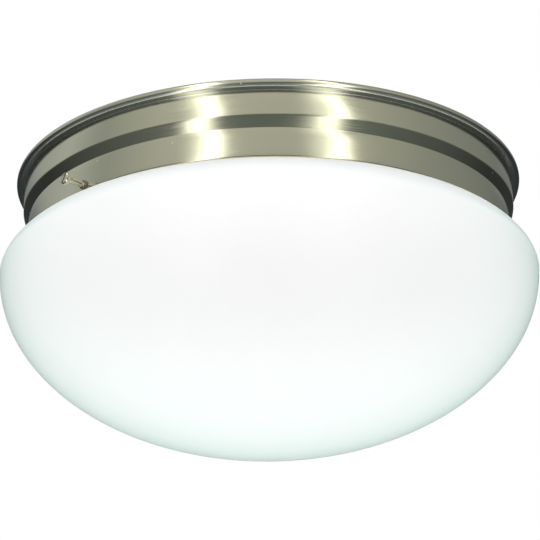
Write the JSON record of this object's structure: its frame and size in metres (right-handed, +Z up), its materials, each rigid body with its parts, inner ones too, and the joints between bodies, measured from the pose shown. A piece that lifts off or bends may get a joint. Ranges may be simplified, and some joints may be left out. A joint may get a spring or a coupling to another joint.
{
  "type": "flush mushroom ceiling light",
  "caption": "Flush ceiling light with a stamped metal pan and a white opal glass mushroom shade held by thumb screws, over lamps in porcelain lampholders.",
  "frame": {"origin": "middle of the mounting strap in the ceiling plane, on the axis of the pan and the glass", "axes": "+Z up through the ceiling, +X along the mounting strap and the lamps, the light hangs towards -Z"},
  "size_m": [0.3048, 0.3048, 0.1535],
  "materials": {
    "satin_nickel": "satin nickel plate",
    "zinc_steel": "bright zinc plate",
    "green_steel": "green dye over zinc",
    "dark_steel": "dark nickel",
    "soft_tip": "matte",
    "opal_glass": "satin white opal",
    "glass_wool": "fibrous, with a foil face",
    "porcelain": "white glaze",
    "brass": "bright stamped",
    "solder": "dull",
    "black_glass": "gloss",
    "lamp_cap": "bright rolled",
    "frosted_bulb": "frosted white",
    "black_lead": "matte",
    "white_lead": "matte",
    "connector": "gloss"
  },
  "bodies": {
    "pan": {"ceiling_pan": "satin_nickel", "mounting_strap": "zinc_steel", "mount_screw_1": "zinc_steel", "mount_screw_2": "zinc_steel", "earth_screw": "green_steel", "insulation_ring": "glass_wool", "thumb_nut_1": "dark_steel", "thumb_nut_2": "dark_steel", "thumb_nut_3": "dark_steel", "holder_bracket_1": "zinc_steel", "holder_bracket_2": "zinc_steel", "bracket_rivet_1": "zinc_steel", "bracket_rivet_2": "zinc_steel", "bracket_rivet_3": "zinc_steel", "bracket_rivet_4": "zinc_steel", "lampholder_1": "porcelain", "lampholder_2": "porcelain", "holder_screw_1": "zinc_steel", "holder_screw_2": "zinc_steel", "holder_screw_3": "zinc_steel", "holder_screw_4": "zinc_steel", "screw_shell_1": "brass", "screw_shell_2": "brass", "centre_contact_1": "brass", "centre_contact_2": "brass", "lead_black_1": "black_lead", "lead_black_2": "black_lead", "lead_white_1": "white_lead", "lead_white_2": "white_lead", "connector_black": "connector", "connector_white": "connector"},
    "shade": {"glass_shade": "opal_glass"},
    "tip_1": {"thumb_tip_1": "soft_tip"},
    "screw_1": {"thumb_screw_1": "satin_nickel"},
    "tip_2": {"thumb_tip_2": "soft_tip"},
    "screw_2": {"thumb_screw_2": "satin_nickel"},
    "tip_3": {"thumb_tip_3": "soft_tip"},
    "screw_3": {"thumb_screw_3": "satin_nickel"},
    "lamp_1_carrier": {"lamp_eyelet_1": "solder"},
    "lamp_1": {"lamp_insulator_1": "black_glass", "lamp_cap_1": "lamp_cap", "lamp_bulb_1": "frosted_bulb"},
    "lamp_2_carrier": {"lamp_eyelet_2": "solder"},
    "lamp_2": {"lamp_insulator_2": "black_glass", "lamp_cap_2": "lamp_cap", "lamp_bulb_2": "frosted_bulb"}
  },
  "joints": [
    {"name": "shade_lower", "type": "slide", "parent": "pan", "child": "shade", "axis": [0, 0, -1], "range_m": [0, 0.07]},
    {"name": "screw_1_out", "type": "slide", "parent": "pan", "child": "tip_1", "axis": [-0.7193, -0.6947, 0], "range_m": [0, 0.0084]},
    {"name": "screw_1_turn", "type": "hinge", "parent": "tip_1", "child": "screw_1", "pos_m": [-0.10071, -0.09725, -0.0387], "axis": [-0.7193, -0.6947, 0], "range_deg": [0, 3810]},
    {"name": "screw_2_out", "type": "slide", "parent": "pan", "child": "tip_2", "axis": [0.9877, 0.1564, 0], "range_m": [0, 0.0084]},
    {"name": "screw_2_turn", "type": "hinge", "parent": "tip_2", "child": "screw_2", "pos_m": [0.13828, 0.0219, -0.0387], "axis": [0.9877, 0.1564, 0], "range_deg": [0, 3810]},
    {"name": "screw_3_out", "type": "slide", "parent": "pan", "child": "tip_3", "axis": [0.1908, 0.9816, 0], "range_m": [0, 0.0084]},
    {"name": "screw_3_turn", "type": "hinge", "parent": "tip_3", "child": "screw_3", "pos_m": [0.02671, 0.13743, -0.0387], "axis": [0.1908, 0.9816, 0], "range_deg": [0, 3810]},
    {"name": "lamp_1_out", "type": "slide", "parent": "pan", "child": "lamp_1_carrier", "axis": [-1, 0, 0], "range_m": [0, 0.0261]},
    {"name": "lamp_1_turn", "type": "hinge", "parent": "lamp_1_carrier", "child": "lamp_1", "pos_m": [0, 0.036, -0.048], "axis": [-1, 0, 0], "range_deg": [0, 2579.5]},
    {"name": "lamp_2_out", "type": "slide", "parent": "pan", "child": "lamp_2_carrier", "axis": [1, 0, 0], "range_m": [0, 0.0261]},
    {"name": "lamp_2_turn", "type": "hinge", "parent": "lamp_2_carrier", "child": "lamp_2", "pos_m": [0, -0.036, -0.048], "axis": [1, 0, 0], "range_deg": [0, 2579.5]}
  ],
  "couplings": [
    {"joint": "screw_1_out", "follows": "shade_lower", "ratio": 0.12},
    {"joint": "screw_1_turn", "follows": "shade_lower", "rad_per_m": 949.9},
    {"joint": "screw_2_out", "follows": "shade_lower", "ratio": 0.12},
    {"joint": "screw_2_turn", "follows": "shade_lower", "rad_per_m": 949.9},
    {"joint": "screw_3_out", "follows": "shade_lower", "ratio": 0.12},
    {"joint": "screw_3_turn", "follows": "shade_lower", "rad_per_m": 949.9},
    {"joint": "lamp_1_out", "follows": "lamp_1_turn", "m_per_rad": 0.00057751},
    {"joint": "lamp_2_out", "follows": "lamp_2_turn", "m_per_rad": 0.00057751}
  ]
}
